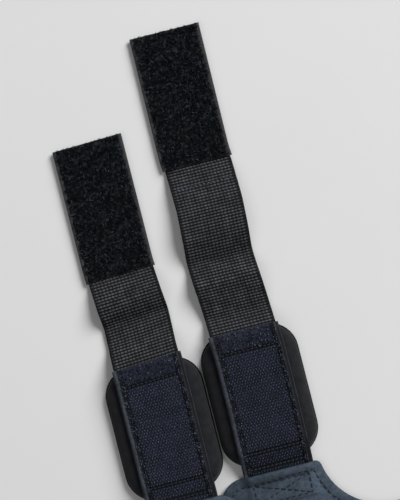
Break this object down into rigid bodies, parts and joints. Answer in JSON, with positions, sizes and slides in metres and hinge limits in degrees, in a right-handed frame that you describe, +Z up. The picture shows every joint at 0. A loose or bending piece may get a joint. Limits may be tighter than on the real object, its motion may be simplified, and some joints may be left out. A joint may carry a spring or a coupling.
{
  "type": "hand grips",
  "caption": "Pair of leather palm guards with padded wrist cuffs and webbing straps that fold back through a ring and close with hook and loop tape.",
  "frame": {"origin": "under the middle of the pair, on the surface that it lies on", "axes": "+X from the left grip to the right grip, +Y along the straps towards their tips, +Z up"},
  "size_m": [0.3208, 0.3116, 0.0091],
  "materials": {
    "leather": "matte suede",
    "lining": "matte microfibre",
    "webbing": "satin nylon weave",
    "hook_tape": "satin hook tape",
    "loop_pile": "matte looped pile",
    "pad_knit": "matte knit",
    "foam": "matte foam",
    "pad_backing": "matte knit",
    "ring_metal": "satin black",
    "thread": "satin thread"
  },
  "bodies": {
    "right_band": {"right_band_leather": "leather", "right_band_lining": "lining", "right_strap_anchor": "webbing", "right_ring_keeper": "webbing", "right_band_stitching": "thread"},
    "right_palm": {"right_palm_leather": "leather", "right_palm_lining": "lining", "right_palm_stitching": "thread"},
    "right_cuff": {"right_cuff_webbing": "webbing", "right_hook_tape": "hook_tape", "right_hook_stitching": "thread", "right_pad_cover": "pad_knit", "right_pad_foam": "foam", "right_pad_backing": "pad_backing"},
    "right_tail": {"right_tail_webbing": "webbing", "right_loop_tape": "loop_pile", "right_loop_stitching": "thread"},
    "right_ring": {"right_ring": "ring_metal"},
    "left_band": {"left_band_leather": "leather", "left_band_lining": "lining", "left_strap_anchor": "webbing", "left_ring_keeper": "webbing", "left_band_stitching": "thread"},
    "left_palm": {"left_palm_leather": "leather", "left_palm_lining": "lining", "left_palm_stitching": "thread"},
    "left_cuff": {"left_cuff_webbing": "webbing", "left_hook_tape": "hook_tape", "left_hook_stitching": "thread", "left_pad_cover": "pad_knit", "left_pad_foam": "foam", "left_pad_backing": "pad_backing"},
    "left_tail": {"left_tail_webbing": "webbing", "left_loop_tape": "loop_pile", "left_loop_stitching": "thread"},
    "left_ring": {"left_ring": "ring_metal"}
  },
  "joints": [
    {"name": "right_palm_flex", "type": "hinge", "parent": "right_band", "child": "right_palm", "pos_m": [0.07019, -0.0902, 0.00285], "axis": [0, -1, 0], "range_deg": [0, 80]},
    {"name": "right_cuff_flex", "type": "hinge", "parent": "right_band", "child": "right_cuff", "pos_m": [0.02245, -0.045, 0.0022], "axis": [1, 0, 0], "range_deg": [0, 60]},
    {"name": "right_strap_fold", "type": "hinge", "parent": "right_cuff", "child": "right_tail", "pos_m": [0.02245, 0.0561, 0.006], "axis": [1, 0, 0], "range_deg": [0, 179.6]},
    {"name": "right_ring_swing", "type": "hinge", "parent": "right_band", "child": "right_ring", "pos_m": [0.02245, -0.1392, 0.003], "axis": [-1, 0, 0], "range_deg": [0, 135]},
    {"name": "left_palm_flex", "type": "hinge", "parent": "left_band", "child": "left_palm", "pos_m": [-0.07019, -0.0943, 0.00285], "axis": [0, 1, 0], "range_deg": [0, 80]},
    {"name": "left_cuff_flex", "type": "hinge", "parent": "left_band", "child": "left_cuff", "pos_m": [-0.02245, -0.0491, 0.0053], "axis": [1, 0, 0], "range_deg": [0, 60]},
    {"name": "left_strap_fold", "type": "hinge", "parent": "left_cuff", "child": "left_tail", "pos_m": [-0.02245, 0.03495, 0.006], "axis": [1, 0, 0], "range_deg": [0, 179.6]},
    {"name": "left_ring_swing", "type": "hinge", "parent": "left_band", "child": "left_ring", "pos_m": [-0.02245, -0.1433, 0.0061], "axis": [-1, 0, 0], "range_deg": [0, 135]},
    {"name": "left_grip_lift", "type": "slide", "parent": "right_band", "child": "left_band", "axis": [0, 0, 1], "range_m": [0, 0.1]}
  ]
}
